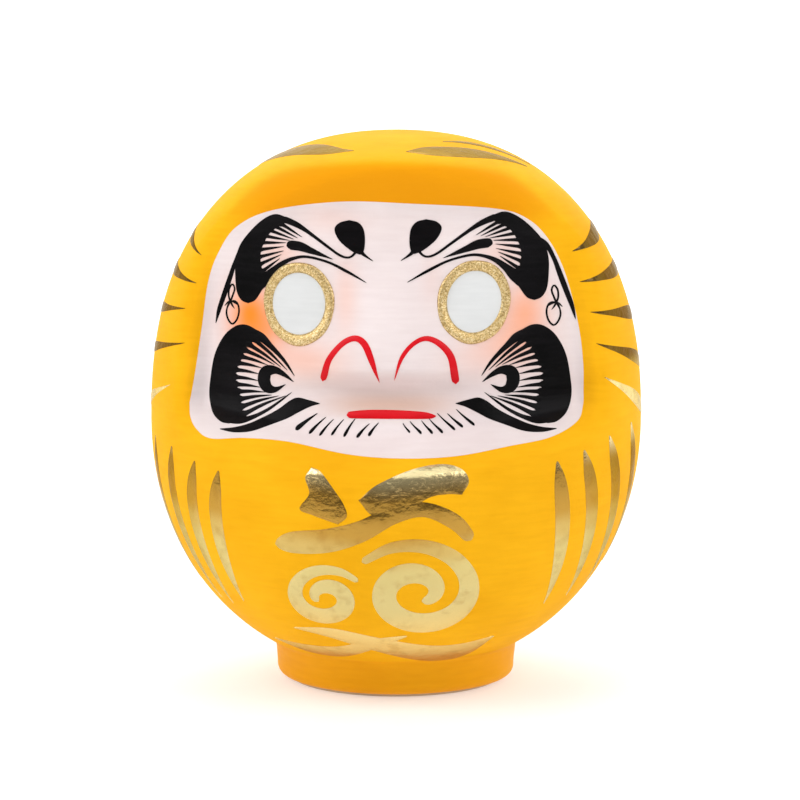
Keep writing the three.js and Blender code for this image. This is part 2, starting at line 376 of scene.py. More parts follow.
def foot_points(turns, steps):
    """The foot as a profile carried round the axis: flat under, a quarter circle at the lower edge, a wall
    that eases out to just beyond the skin, a rim that meets the skin, down the seat along the skin, up the
    plug and back to the axis. The wall wanders by slow waves of the angle."""
    angle = np.linspace(0, 2 * np.pi, turns, endpoint=False)[:, None]
    corner = np.linspace(0, np.pi / 2, steps)
    edge_r = FOOT_BOTTOM_RADIUS - FOOT_ROUNDING * (1 - np.sin(corner))
    edge_z = FOOT_BOTTOM_Z + FOOT_ROUNDING * (1 - np.cos(corner))
    up = np.linspace(0, 1, 2 * steps)[1:]
    flush = skin_radius(angle, FOOT_EDGE_Z) + 0.35
    wall_r = FOOT_BOTTOM_RADIUS + (flush - FOOT_BOTTOM_RADIUS) * up ** 1.5
    wall_z = edge_z[-1] + (FOOT_EDGE_Z - edge_z[-1]) * up
    seat_z = np.array([FOOT_RIM_Z, *SEAT_Z])
    plug_r, plug_z = np.array(PLUG).T
    radii = [np.full(1, 0.01), edge_r, wall_r, skin_radius(angle, seat_z), plug_r]
    r = np.concatenate([np.broadcast_to(part, (turns, part.shape[-1])) for part in radii], axis=1)
    z = np.concatenate([[FOOT_BOTTOM_Z], edge_z, wall_z, seat_z, plug_z])
    wander = 0.35 * np.sin(2 * angle + 0.6) + 0.2 * np.sin(5 * angle + 2.1)
    r = r + wander * bell(z - 3.5, 2.6) * eased(20, 25, r)
    return np.stack([r * np.sin(angle), -r * np.cos(angle), np.broadcast_to(z, r.shape)], axis=-1)


def ring_faces(turns, count):
    """Quads of a grid whose first direction closes on itself."""
    index = np.arange(turns * count).reshape(turns, count)
    after = np.roll(index, -1, axis=0)
    return np.stack([index[:, :-1], after[:, :-1], after[:, 1:], index[:, 1:]], axis=-1).reshape(-1, 4)


# The foot's coat is a deeper amber than the body's yellow: painted shade, for the shadow it stands in under the
# body.
foot_shade_amber = coat_material("foot_paint", (0.84, 0.355, 0.004), (0.92, 0.415, 0.006), 0.5, 0.5, streaks=0.35,
                      grain=500, shine=0.07)
foot_grid = foot_points(180, 7)
foot_faces = ring_faces(*foot_grid.shape[:2]).tolist()
foot = mesh_object("clay_foot_painted", foot_grid.reshape(-1, 3), foot_faces, foot_shade_amber, weld=3e-5)
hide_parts("clay_foot")

# ---- bare paper ----
# The disc pasted under the foot and the strip inside over the joint are plain paper, left as they are.

bare_paper = coat_material("bare_paper", (0.62, 0.55, 0.42), (0.72, 0.66, 0.53), 0.9, 0.6, streaks=0.2,
                           grain=700)
for node in ("bottom_paper", "seam_strip"):
    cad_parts[node].data.materials.clear()
    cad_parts[node].data.materials.append(bare_paper)

# ---- face paint ----
# The sunken face is brushed pale pink up to an edge cut in by hand, with orange blush rubbed in beside the
# eyes and a brown painted shadow under the nose. It is one film of paint, a tenth of a millimetre thick, that
# follows the skin.

FILM = 0.07            # how far a coat of paint stands off what is under it
FILM_ROOT = 0.2        # how far a film reaches into the skin, so that its edge closes


def even_line(points, count):
    """Count evenly spaced points of a smooth line through the given ones. Between two of them it is a cubic
    whose slope at each is half the step between its neighbours. Any third column is carried along."""
    given = np.asarray(points, float)
    padded = np.vstack([2 * given[0] - given[1], given, 2 * given[-1] - given[-2]])
    place = np.linspace(0, len(given) - 1, 40 * len(given))
    part = np.minimum(place.astype(int), len(given) - 2)
    t = (place - part)[:, None]
    a, b, c, d = (padded[part + k] for k in range(4))
    line = b + 0.5 * t * (c - a + t * (2 * a - 5 * b + 4 * c - d + t * (3 * (b - c) + d - a)))
    run = np.concatenate([[0], np.cumsum(np.hypot(*np.diff(line[:, :2], axis=0).T))])
    even = np.linspace(0, run[-1], count)
    return np.stack([np.interp(even, run, line[:, k]) for k in range(line.shape[1])], axis=-1)


def lift(skin, a, b, height):
    """Points over a skin at its coordinates (a, b), moved outwards by height along its normal, which is the
    cross product of its two slopes, each taken over a tenth of a millimetre."""
    step = 0.05
    along_a = skin(a + step, b) - skin(a - step, b)
    along_b = skin(a, b + step) - skin(a, b - step)
    normal = np.cross(along_a, along_b)
    normal /= np.linalg.norm(normal, axis=-1, keepdims=True)
    return skin(a, b) + normal * height[..., None]


def patch(edge_a, edge_b, across):
    """A grid of coordinates between two edge lines, each ruling straight."""
    part = np.linspace(0, 1, across)[None, :, None]
    return edge_a[:, None, :2] * (1 - part) + edge_b[:, None, :2] * part


def brushed(points, count=48, across=7):
    """A brush stroke along a line of (a, b, width): its edges lie half a width either side. Each end is drawn
    in to a round cap by sqrt(1 - (1 - d / r)^2), where d is the way from the end and r half the width."""
    line = even_line(points, count)
    run = np.gradient(line[:, :2], axis=0)
    step = np.linalg.norm(run, axis=1, keepdims=True)
    half = np.maximum(line[:, 2:], 0.03) / 2
    way = np.cumsum(step, axis=0) - step[0]
    from_end = np.minimum(way, way[-1] - way)
    cap = np.sqrt(1 - (1 - np.clip(from_end / half, 0.02, 1)) ** 2)
    sideways = np.stack([-run[:, 1], run[:, 0]], axis=-1) / step * half * cap
    return patch(line[:, :2] + sideways, line[:, :2] - sideways, across)


def mass(edge_a, edge_b, count=60, across=16):
    """A filled shape between two edge lines that start and end together."""
    return patch(even_line(edge_a, count), even_line(edge_b, count), across)


def film_object(name, skin, grids, material, stand=FILM, crown=0.05, closed=False):
    """A coat of paint: over each grid a top sheet, which stands off the skin and is fuller in the middle of
    the stroke by 1 - u^4, where u runs from -1 to 1 across it, and a root sheet inside the skin, joined to
    the top sheet round the edge. A closed grid's first direction is a ring."""
    all_points, all_faces, start = [], [], 0
    for grid in grids:
        ahead = np.roll(grid, -1, axis=0) - grid if closed else grid[1:] - grid[:-1]
        over = (grid[:, 1:] - grid[:, :-1])[: len(ahead)]
        ahead = ahead[:, :-1]
        if np.sum(ahead[..., 0] * over[..., 1] - ahead[..., 1] * over[..., 0]) < 0:
            grid = grid[:, ::-1]
        rows, columns = grid.shape[:2]
        u = np.linspace(-1, 1, columns)[None, :]
        height = stand + crown * (1 - u ** 4) * np.ones((rows, 1))
        top = lift(skin, grid[..., 0], grid[..., 1], height)
        root = lift(skin, grid[..., 0], grid[..., 1], -FILM_ROOT * np.ones((rows, columns)))
        all_points += [top.reshape(-1, 3), root.reshape(-1, 3)]
        index = np.arange(rows * columns).reshape(rows, columns)
        if closed:
            sheet = ring_faces(rows, columns)
            after = np.roll(index, -1, axis=0)
            rims = [(index[:, 0], after[:, 0]), (after[:, -1], index[:, -1])]
            walls = [np.stack([b, a, a + rows * columns, b + rows * columns], axis=-1) for a, b in rims]
        else:
            sheet = grid_quads(rows, columns)[:, [0, 3, 2, 1]]
            edge = np.concatenate([index[:, 0], index[-1, 1:], index[-2::-1, -1], index[0, -2:0:-1]])
            after = np.roll(edge, -1)
            walls = [np.stack([after, edge, edge + rows * columns, after + rows * columns], axis=-1)]
        all_faces += [sheet + start, sheet[:, ::-1] + rows * columns + start] + [w + start for w in walls]
        start += 2 * rows * columns
    return mesh_object(name, np.concatenate(all_points), np.concatenate(all_faces).tolist(), material,
                       weld=1e-8)


chin_line = [(-42.6, 63.5), (-42.2, 60.8), (-40.6, 58.6), (-37.3, 57.2), (-29.9, 57.7), (-20.5, 57.4),
             (-8, 55.6), (2.7, 55.0), (14.1, 55.3), (25.3, 56.8), (33.7, 58.0), (39.2, 60.4),
             (40.5, 63.4), (40.6, 66.5)]
brow_line = [(-42.6, 63.5), (-41.5, 70.1), (-40.1, 79.6), (-38.8, 88.8), (-36.6, 95.0), (-32.4, 100.8),
             (-24.3, 104.6), (-10.0, 106.6), (5.3, 106.2), (21.9, 105.1), (28.6, 102.8), (33.2, 98.0),
             (36.8, 90.4), (39.5, 79.9), (40.5, 72.0), (40.6, 66.5)]


def blush_over(x, z):
    """How much orange is rubbed in: soft spots beside and under the eyes, a faint one by each nostril and
    brow. Each is a bump with a centre, a reach both ways and a strength, and where two meet the bare parts
    multiply."""
    spots = ((-29.5, 82.5, 4.2, 6.4, 1.0), (-27.0, 79.5, 6.0, 6.0, 0.75), (-17.0, 73.5, 8.0, 4.0, 0.32),
             (-9.0, 87.0, 2.6, 8.0, 0.20), (-12.5, 103.0, 7.0, 2.8, 0.12), (-23.0, 95.5, 5.0, 3.5, 0.25),
             (28.2, 83.4, 4.6, 6.6, 0.58), (25.0, 77.4, 6.5, 5.0, 0.38), (18.0, 74.5, 7.0, 4.0, 0.14),
             (9.0, 91.0, 2.4, 6.0, 0.08), (23.0, 96.0, 5.0, 3.5, 0.2))
    total = np.zeros_like(x)
    for spot_x, spot_z, reach_x, reach_z, strength in spots:
        total = 1 - (1 - total) * (1 - strength * bell(x - spot_x, reach_x) * bell(z - spot_z, reach_z))
    return total


def nose_shadow_over(x, z):
    """How much painted shadow lies under the nose: a soft brown band between the nose and the mouth."""
    return 0.75 * np.exp(-(np.abs(x) / 13) ** 3) * bell(z - 64.6, 2.6) * eased(60.5, 63.0, z)


pale = coat_material("face_paint", (0.735, 0.635, 0.63), (0.80, 0.71, 0.705), 0.5, 0.3, shine=0.1)
tint(pale, "blush", (0.95, 0.25, 0.02))
# A brown painted shadow under the nose's overhang, between the nose and the mouth.
tint(pale, "nose_shadow", (0.60, 0.37, 0.27))
face_ground = mass(brow_line, chin_line, 230, 140)
face = film_object("face_paint", front_skin, [face_ground], pale, crown=0.0)
x, y, z = points_of(face).T
store(face, "blush", blush_over(x, z))
store(face, "nose_shadow", nose_shadow_over(x, z))

# ---- eyes ----
# Blank white eyes, left for their owner to fill in, each in a ring of gold glitter stuck in thick glue.

EYES = ((-18.9, 85.2, 0.0), (17.6, 85.8, -8.0))        # centre x, centre z, tilt in degrees
EYE_HALF = (5.8, 6.6)
RING_HALF = (7.55, 8.65)


def ellipse(centre_x, centre_z, tilt, half, angle):
    """Points of an ellipse, turned by tilt degrees about its centre."""
    x, z = half[0] * np.cos(angle), half[1] * np.sin(angle)
    lean = np.radians(tilt)
    return np.stack([centre_x + x * np.cos(lean) - z * np.sin(lean),
                     centre_z + x * np.sin(lean) + z * np.cos(lean)], axis=-1)


eye_white = coat_material("eye_white", (0.65, 0.66, 0.66), (0.72, 0.73, 0.73), 0.4, 0.4, streaks=0.1, grain=350,
                          shine=0.15)
eyes = []
for centre_x, centre_z, tilt in EYES:
    upper = ellipse(centre_x, centre_z, tilt, EYE_HALF, np.linspace(np.pi - 0.02, 0.02, 70))
    lower = ellipse(centre_x, centre_z, tilt, EYE_HALF, np.linspace(np.pi + 0.02, 2 * np.pi - 0.02, 70))
    eyes.append(patch(upper, lower, 50))
film_object("eye_whites", front_skin, eyes, eye_white, stand=2 * FILM, crown=0.0)

glitter = bpy.data.materials.new("gold_glitter")
glitter.use_nodes = True
nodes, links = glitter.node_tree.nodes, glitter.node_tree.links
place = nodes.new("ShaderNodeTexCoord")
flakes = nodes.new("ShaderNodeTexVoronoi")
flakes.inputs["Scale"].default_value = 4200
links.new(place.outputs["Object"], flakes.inputs["Vector"])
shade = nodes.new("ShaderNodeSeparateColor")
links.new(flakes.outputs["Color"], shade.inputs["Color"])
flake_colour = nodes.new("ShaderNodeValToRGB")
flake_colour.color_ramp.elements[0].color = (0.38, 0.24, 0.075, 1)
flake_colour.color_ramp.elements[1].color = (0.86, 0.70, 0.40, 1)
middle = flake_colour.color_ramp.elements.new(0.5)
middle.color = (0.66, 0.46, 0.18, 1)
links.new(shade.outputs["Red"], flake_colour.inputs["Fac"])
links.new(flake_colour.outputs["Color"], nodes["Principled BSDF"].inputs["Base Color"])
tilt_bump = nodes.new("ShaderNodeBump")
tilt_bump.inputs["Strength"].default_value = 0.9
tilt_bump.inputs["Distance"].default_value = 0.0002
links.new(shade.outputs["Green"], tilt_bump.inputs["Height"])
links.new(tilt_bump.outputs["Normal"], nodes["Principled BSDF"].inputs["Normal"])
nodes["Principled BSDF"].inputs["Metallic"].default_value = 0.55
nodes["Principled BSDF"].inputs["Roughness"].default_value = 0.42

rings = []
around = np.linspace(0, 2 * np.pi, 160, endpoint=False)
for centre_x, centre_z, tilt in EYES:
    uneven = (1 + 0.008 * np.sin(3 * around + centre_x) + 0.006 * np.sin(7 * around))[:, None]
    centre = np.array([centre_x, centre_z])
    outer = centre + (ellipse(centre_x, centre_z, tilt, RING_HALF, around) - centre) * uneven
    inner = ellipse(centre_x, centre_z, tilt, (EYE_HALF[0] - 0.2, EYE_HALF[1] - 0.2), around)
    rings.append(patch(outer, inner, 12))
film_object("eye_rings", front_skin, rings, glitter, stand=0.18, crown=0.45, closed=True)

# ---- brows ----
# Black brush work over each eye: a full mass that thins into two long lines, a tail down the temple, a drop
# by the nose, and a comb of hairs drawn inwards from the mass. The pale gaps are the face left bare.

black = coat_material("black_paint", (0.002, 0.002, 0.002), (0.007, 0.006, 0.007), 0.32, 0.4, shine=0.05)


def mirrored(grids, inwards, spread, rise):
    """The left-hand drawing mirrored to the right: x is spread and moved inwards, and z rises with x. Painted
    by eye, that side comes out a little wider and higher towards the temple."""
    return [np.stack([-(grid[..., 0] * spread + inwards), grid[..., 1] - grid[..., 0] * rise], axis=-1)
            for grid in grids]


def comb(roots, tips, count, width, bend=0.0):
    """Hairs from a line of roots to a line of tips, evenly spread. Each starts thick a little behind its root,
    tapers to a point, and has its middle pushed sideways by bend times its length."""
    starts, ends = even_line(roots, count), even_line(tips, count)
    hairs = []
    for start, end in zip(starts, ends):
        run = end - start
        centre = start + 0.5 * run + bend * np.array([-run[1], run[0]])
        hair = [(*(start - 0.12 * run), 2 * width), (*start, 1.55 * width),
                (*(start + 0.1 * run), 0.95 * width), (*centre, 0.62 * width), (*end, 0.08)]
        hairs.append(brushed(hair, 30, 5))
    return hairs


brow = [
    mass([(-19.0, 101.7), (-21.6, 103.1), (-24.3, 103.7), (-27.8, 101.6), (-31.4, 97.4), (-32.7, 93.5),
          (-32.7, 89.2), (-32.3, 86.8), (-31.3, 85.3), (-29.9, 84.8)],
         [(-19.0, 101.4), (-21.4, 101.9), (-23.0, 101.2), (-25.1, 99.7), (-26.6, 97.2), (-27.2, 95.0),
          (-26.9, 92.2), (-25.4, 90.2), (-27.0, 87.5), (-28.4, 85.5), (-29.9, 84.8)]),
    brushed([(-22.4, 102.8, 1.5), (-19.5, 101.6, 1.2), (-16.8, 100.0, 0.75), (-12.8, 97.2, 0.55),
             (-10.5, 95.6, 0.5), (-8.9, 95.0, 0.45), (-7.7, 95.3, 0.45), (-6.7, 96.5, 0.6)]),
    brushed([(-28.2, 88.2, 2.6), (-25.9, 90.3, 2.3), (-24.2, 92.0, 1.5), (-22.2, 93.6, 1.0), (-20.0, 94.6, 0.7),
             (-17.2, 95.0, 0.55), (-12.8, 94.0, 0.5), (-8.6, 92.0, 0.6), (-4.6, 89.8, 0.12)]),
    mass([(-8.3, 102.7), (-10.4, 102.1), (-11.4, 100.7), (-10.3, 98.4), (-7.7, 96.3), (-6.0, 95.6)],
         [(-8.3, 102.7), (-6.4, 102.2), (-5.3, 100.8), (-5.0, 98.4), (-5.3, 96.3), (-6.0, 95.6)], 40, 12),
    brushed([(-6.0, 96.4, 1.0), (-5.1, 95.5, 0.6), (-3.3, 94.3, 0.1)], 24, 5),
    brushed([(-21.5, 97.1, 1.3), (-20.6, 97.3, 1.9), (-18.6, 97.1, 1.9), (-16.6, 96.4, 1.4), (-14.4, 95.6, 0.8),
             (-11.7, 94.6, 0.08)]),
    *comb([(-22.6, 101.6), (-25.0, 100.6), (-26.6, 98.2), (-27.4, 95.2), (-27.1, 92.4), (-25.6, 90.6)],
          [(-18.2, 99.0), (-21.0, 98.2), (-22.0, 97.2), (-22.1, 96.2), (-22.8, 95.0), (-23.2, 93.6)], 10, 0.8),
]
temple_tail = [
    brushed([(-29.2, 98.2, 0.5), (-31.2, 96.4, 0.9), (-32.8, 93.2, 0.8), (-34.0, 89.8, 1.0),
             (-35.2, 86.4, 1.05), (-36.4, 83.0, 0.85), (-37.1, 80.2, 0.15)]),
]
temple_curl = [
    brushed([(-34.6, 83.4, 0.1), (-33.9, 84.9, 0.36), (-33.3, 86.3, 0.36), (-32.9, 87.7, 0.36),
             (-33.4, 88.6, 0.36), (-34.1, 87.6, 0.36), (-34.2, 86.0, 0.36), (-33.6, 84.5, 0.4),
             (-32.9, 83.5, 0.1)], 40, 5),
    brushed([(-34.3, 84.6, 0.2), (-34.7, 82.6, 0.36), (-34.2, 81.0, 0.38), (-33.3, 80.3, 0.38),
             (-32.3, 81.4, 0.36), (-31.9, 83.2, 0.36), (-32.3, 84.7, 0.36), (-33.2, 85.1, 0.36),
             (-34.2, 84.5, 0.15)], 40, 5),
    brushed([(-35.1, 84.0, 0.1), (-34.3, 84.8, 0.36), (-33.4, 85.0, 0.4), (-32.0, 84.2, 0.1)], 24, 5),
]
brows = [*brow, *temple_tail, *temple_curl,
         *mirrored(brow, inwards=1.0, spread=1.04, rise=0.03),
         *mirrored(temple_tail, inwards=1.4, spread=1.085, rise=0.03),
         *mirrored(temple_curl, inwards=1.0, spread=1.055, rise=0.0)]
film_object("brows", front_skin, brows, black, stand=2 * FILM)

# ---- beard ----
# On each cheek a black mass opens in a comb of hairs round a curled dark spot, with a swept stroke under it
# and a row of short whiskers along the chin.

beard = [
    mass([(-27.8, 79.3), (-30.2, 80.3), (-32.6, 79.9), (-35.2, 77.7), (-37.3, 73.6), (-38.3, 68.4),
          (-38.5, 64.9), (-37.6, 61.8), (-35.6, 60.2), (-33.6, 59.9)],
         [(-27.8, 78.9), (-28.4, 77.2), (-30.2, 75.6), (-31.2, 73.2), (-32.4, 70.8), (-32.5, 68.2),
          (-31.7, 65.8), (-31.2, 63.2), (-31.2, 61.0), (-33.6, 59.9)]),
    brushed([(-29.6, 78.6, 2.6), (-27.0, 77.9, 1.9), (-25.0, 76.3, 1.2), (-22.8, 74.3, 0.8),
             (-21.2, 72.5, 0.55), (-19.7, 70.3, 0.1)]),
    brushed([(-34.0, 60.9, 1.8), (-31.2, 60.6, 1.2), (-28.4, 61.4, 0.8), (-25.4, 63.0, 0.6),
             (-22.6, 65.0, 0.4), (-20.3, 66.8, 0.08)]),
    brushed([(-19.9, 69.0, 0.1), (-21.8, 70.4, 0.9), (-23.8, 71.3, 1.6), (-25.7, 70.9, 2.5),
             (-26.3, 69.2, 2.7), (-25.6, 67.6, 2.4), (-23.9, 67.2, 1.2), (-21.6, 68.4, 0.08)]),
    *comb([(-28.4, 77.4), (-30.0, 75.6), (-31.4, 73.2), (-32.4, 70.6), (-32.4, 68.2), (-31.6, 65.8),
           (-31.2, 63.6), (-30.6, 61.8)],
          [(-21.2, 71.4), (-24.0, 72.4), (-26.4, 71.8), (-27.4, 70.2), (-27.4, 68.6), (-26.6, 67.0),
           (-24.4, 66.0), (-21.6, 66.0)], 12, 0.95, 0.02),
    mass([(-35.4, 58.95), (-32.0, 59.4), (-28.8, 60.3), (-25.8, 61.7), (-23.0, 63.3), (-20.9, 64.9),
          (-19.1, 65.7), (-16.8, 65.3), (-14.4, 64.7)],
         [(-35.4, 58.85), (-32.4, 58.5), (-28.8, 58.8), (-25.5, 59.8), (-21.5, 61.3), (-18.9, 62.7),
          (-16.5, 63.9), (-14.4, 64.6)]),
]
# Each whisker's start x and z, end x and z, and width.
WHISKERS = ((-14.8, 62.7, -19.3, 59.4, 0.9), (-13.0, 62.0, -16.4, 58.8, 0.6), (-11.3, 61.7, -14.2, 58.5, 0.5),
            (-9.2, 61.7, -11.7, 58.6, 0.5), (-6.8, 61.9, -9.1, 58.4, 0.6), (-3.8, 61.0, -6.4, 58.3, 0.6),
            (-1.9, 61.2, -4.0, 58.6, 0.6), (3.1, 61.1, 4.6, 59.2, 0.4), (4.5, 61.5, 7.0, 59.0, 0.5),
            (6.9, 61.6, 9.3, 59.0, 0.5), (8.5, 61.9, 11.4, 59.1, 0.5), (10.1, 63.0, 13.9, 59.6, 0.5),
            (12.2, 62.9, 15.5, 60.1, 0.55), (14.0, 63.7, 17.9, 60.4, 0.55))
whiskers = [brushed([(x0, z0, 0.12), (0.6 * x0 + 0.4 * x1 - 0.1, 0.6 * z0 + 0.4 * z1, 0.6 * width),
                     (0.15 * x0 + 0.85 * x1, 0.15 * z0 + 0.85 * z1, width), (x1, z1, 0.5 * width)], 24, 5)
            for x0, z0, x1, z1, width in WHISKERS]
beards = [*beard, *mirrored(beard, inwards=0.5, spread=1.0, rise=0.012), *whiskers]
film_object("beard", front_skin, beards, black, stand=2 * FILM)

# ---- nose and mouth ----
# Two red arches mark the nostrils and one red stroke the mouth, in thick glossy paint.

red = coat_material("red_paint", (0.58, 0.005, 0.010), (0.68, 0.010, 0.018), 0.3, 0.25, shine=0.12)
red_strokes = [
    brushed([(-13.7, 69.5, 1.1), (-13.3, 70.9, 1.4), (-12.2, 74.2, 1.2), (-9.5, 77.4, 1.1), (-6.8, 78.6, 1.2),
             (-4.8, 77.4, 1.4), (-3.3, 74.0, 1.2), (-1.8, 69.6, 0.12)]),
    brushed([(1.3, 70.1, 0.12), (2.8, 74.6, 0.8), (5.0, 77.4, 0.9), (7.7, 78.6, 1.0), (10.5, 77.5, 1.2),
             (12.9, 74.7, 1.4), (13.8, 70.2, 1.6), (13.9, 69.0, 1.2)]),
    brushed([(-8.6, 62.5, 0.7), (-7.9, 62.6, 1.3), (-4.0, 62.8, 1.7), (1.5, 62.8, 1.7), (7.0, 62.6, 1.4),
             (9.0, 62.4, 0.9), (9.9, 62.4, 0.15)]),
]
film_object("nose_and_mouth", front_skin, red_strokes, red, stand=2 * FILM, crown=0.12)

# ---- gold strokes ----
# Gold leaf paint, brushed on freely: strokes down each flank of the robe, short ones round the hood beside
# the face and over the crown, a cloud scroll on the belly, and two crossing waves low on the front.

gold = bpy.data.materials.new("gold_leaf")
gold.use_nodes = True
nodes, links = gold.node_tree.nodes, gold.node_tree.links
shader = nodes["Principled BSDF"]
coat = nodes.new("ShaderNodeGroup")
coat.node_tree = brushed_coat
coat.inputs["Grain size"].default_value = 330
coat.inputs["Streaks"].default_value = 0.12

# The leaf's reflections are painted into its colour: a pale painted reflection low down, brown under the
# belly's turn, a bright painted highlight band above it, and dark painted reflections up the hood. So its
# colour runs with the height on the doll, less a little towards the sides.
height = nodes.new("ShaderNodeSeparateXYZ")
links.new(nodes.new("ShaderNodeTexCoord").outputs["Object"], height.inputs["Vector"])
part_up = nodes.new("ShaderNodeMath")
part_up.operation = "DIVIDE"
part_up.inputs[1].default_value = HEIGHT * MM
aside = nodes.new("ShaderNodeMath")
aside.operation = "ABSOLUTE"
links.new(height.outputs["X"], aside.inputs[0])
lowered = nodes.new("ShaderNodeMath")
lowered.operation = "MULTIPLY_ADD"
lowered.inputs[1].default_value = -0.12
links.new(aside.outputs["Value"], lowered.inputs[0])
links.new(height.outputs["Z"], lowered.inputs[2])
links.new(lowered.outputs["Value"], part_up.inputs[0])
leaf_reflection_colour = nodes.new("ShaderNodeValToRGB")
leaf_reflection_colour.color_ramp.interpolation = "EASE"
# Stops of the painted reflections by height: pale low down, brown, a bright painted highlight band, dark up the
# hood.
for place, shade in ((0.11, (0.92, 0.70, 0.28)), (0.20, (0.68, 0.57, 0.25)), (0.255, (0.66, 0.54, 0.22)),
                     (0.29, (0.60, 0.42, 0.13)), (0.325, (0.48, 0.27, 0.05)), (0.385, (0.34, 0.19, 0.035)),
                     (0.445, (0.90, 0.78, 0.44)), (0.515, (0.84, 0.68, 0.32)), (0.56, (0.17, 0.10, 0.025)),
                     (0.80, (0.16, 0.10, 0.03)), (0.92, (0.34, 0.24, 0.10))):
    stop = leaf_reflection_colour.color_ramp.elements.new(place)
    stop.color = (*shade, 1)
leaf_reflection_colour.color_ramp.elements.remove(leaf_reflection_colour.color_ramp.elements[0])
leaf_reflection_colour.color_ramp.elements.remove(leaf_reflection_colour.color_ramp.elements[-1])
links.new(part_up.outputs["Value"], leaf_reflection_colour.inputs["Fac"])

# Where the coat stands high the leaf is worn browner, and the same height creases it, less so low down.
worn_leaf = nodes.new("ShaderNodeMix")
worn_leaf.data_type = "RGBA"
worn_leaf.blend_type = "MULTIPLY"
worn_leaf.inputs["B"].default_value = (0.70, 0.58, 0.42, 1)
patches = ranged(nodes, links, coat.outputs["Height"], 0.52, 0.68, 0.0, 0.4)
links.new(patches, worn_leaf.inputs["Factor"])
links.new(leaf_reflection_colour.outputs["Color"], worn_leaf.inputs["A"])
links.new(worn_leaf.outputs["Result"], shader.inputs["Base Color"])
wrinkle = nodes.new("ShaderNodeBump")
wrinkle.inputs["Strength"].default_value = 0.75
wrinkle.inputs["Distance"].default_value = 0.0006
creases = nodes.new("ShaderNodeMath")
creases.operation = "MULTIPLY"
crumpled = ranged(nodes, links, part_up.outputs["Value"], 0.26, 0.36, 0.35, 1.0)
links.new(crumpled, creases.inputs[0])
links.new(coat.outputs["Height"], creases.inputs[1])
links.new(creases.outputs["Value"], wrinkle.inputs["Height"])
links.new(wrinkle.outputs["Normal"], shader.inputs["Normal"])
shader.inputs["Metallic"].default_value = 0.85
shader.inputs["Specular IOR Level"].default_value = 0.15
shader.inputs["Roughness"].default_value = 0.26
shader.inputs["Specular Tint"].default_value = (0.55, 0.42, 0.22, 1)


def round_skin(arc, z):
    """Points of the skin at an arc round the doll from the front, in mm at its widest girth, and a height."""
    turn = arc / (WIDTH / 2)
    x = side_reach(z) * np.sin(turn)
    ahead = front_skin(x, z)
    behind = back_skin(x, z)
    return np.where((np.cos(turn) > 0)[..., None], ahead, behind)


def crown_skin(x, y):
    """Points of the crown over (x, y): the height at which the skin's front or back passes through them, found
    by halving the span between the top of the face and the top of the doll."""
    low, high = np.full(x.shape, 106.0), np.full(x.shape, HEIGHT)
    for _ in range(40):
        z = (low + high) / 2
        skin_y = np.where(y < 0, front_skin(x, z)[..., 1], back_skin(x, z)[..., 1])
        outside = (np.abs(y) > np.abs(skin_y)) | (np.abs(x) > side_reach(z))
        low, high = np.where(outside, low, z), np.where(outside, z, high)
    return np.stack([x, y, (low + high) / 2], axis=-1)


DEGREE = WIDTH / 2 * np.pi / 180       # arc of one degree of turn

# Each flank stroke's top, middle and foot, as turns in degrees and heights, and its width.
FLANK_STROKES = ((-41.5, 51.0, -44.5, 41.0, -47.0, 22.0, 4.1), (-50.0, 52.2, -53.5, 41.5, -55.0, 20.5, 4.2),
                 (-60.5, 54.2, -63.0, 43.0, -62.0, 21.0, 4.2), (-73.0, 55.0, -75.0, 44.0, -73.0, 24.0, 4.2),
                 (41.0, 53.4, 44.5, 42.5, 51.0, 21.5, 4.3), (49.5, 55.0, 55.0, 43.0, 62.0, 22.0, 4.3),
                 (59.5, 57.0, 65.5, 45.0, 73.0, 24.0, 4.3), (72.0, 58.6, 77.0, 47.0, 83.0, 27.0, 4.3))
flank = []
for turn0, z0, turn1, z1, turn2, z2, width in FLANK_STROKES:
    line = np.array([(turn0 * DEGREE, z0), (turn1 * DEGREE, z1), (turn2 * DEGREE, z2)])
    along = even_line(line, 9)
    fullness = width * np.array([0.12, 0.72, 0.95, 1.0, 1.0, 0.92, 0.75, 0.45, 0.08])
    flank.append(brushed(np.column_stack([along, fullness]), 90, 9))

# Each hood stroke's tip and widest point, as turns in degrees and heights, and its width there.
HOOD_STROKES = ((-61, 94.4, -80, 98.0, 1.7), (-58, 88.6, -80, 90.6, 2.3), (-60, 83.2, -80, 82.2, 2.2),
                (-57, 76.0, -80, 73.6, 2.2), (-62, 66.9, -80, 62.8, 2.3), (57, 95.6, 76, 98.0, 2.6),
                (55, 89.2, 77, 90.5, 2.6), (56, 82.9, 78, 81.6, 2.8), (56, 76.3, 77, 72.4, 2.9),
                (58, 69.2, 75, 63.8, 3.0))
hood = []
for turn0, z0, turn1, z1, width in HOOD_STROKES:
    tip, widest = np.array([turn0 * DEGREE, z0]), np.array([turn1 * DEGREE, z1])
    hood.append(brushed([(*(tip + part * (widest - tip)), width * fullness)
                         for part, fullness in ((0, 0.04), (0.5, 0.5), (1, 1), (1.5, 1), (2.1, 0.06))], 60, 9))
film_object("gold_side_strokes", round_skin, [*flank, *hood], gold, stand=0.04, crown=0.08)

crown_strokes = [
    brushed([(-7.6, -27.6, 0.4), (-12.6, -24.6, 4.6), (-18.0, -16.6, 6.4), (-23.4, -8.0, 6.0),
             (-27.6, 0.0, 4.0), (-30.5, 7.0, 0.4)]),
    brushed([(3.4, -29.6, 0.4), (7.9, -27.6, 5.8), (13.4, -24.2, 6.8), (18.8, -19.4, 5.4),
             (24.4, -14.2, 2.6), (28.4, -10.4, 0.4)]),
    brushed([(10.6, -16.6, 0.3), (15.6, -11.8, 2.4), (22.6, -7.2, 2.6), (29.0, -3.6, 0.3)]),
]
film_object("gold_crown_strokes", crown_skin, crown_strokes, gold, stand=0.04, crown=0.08)


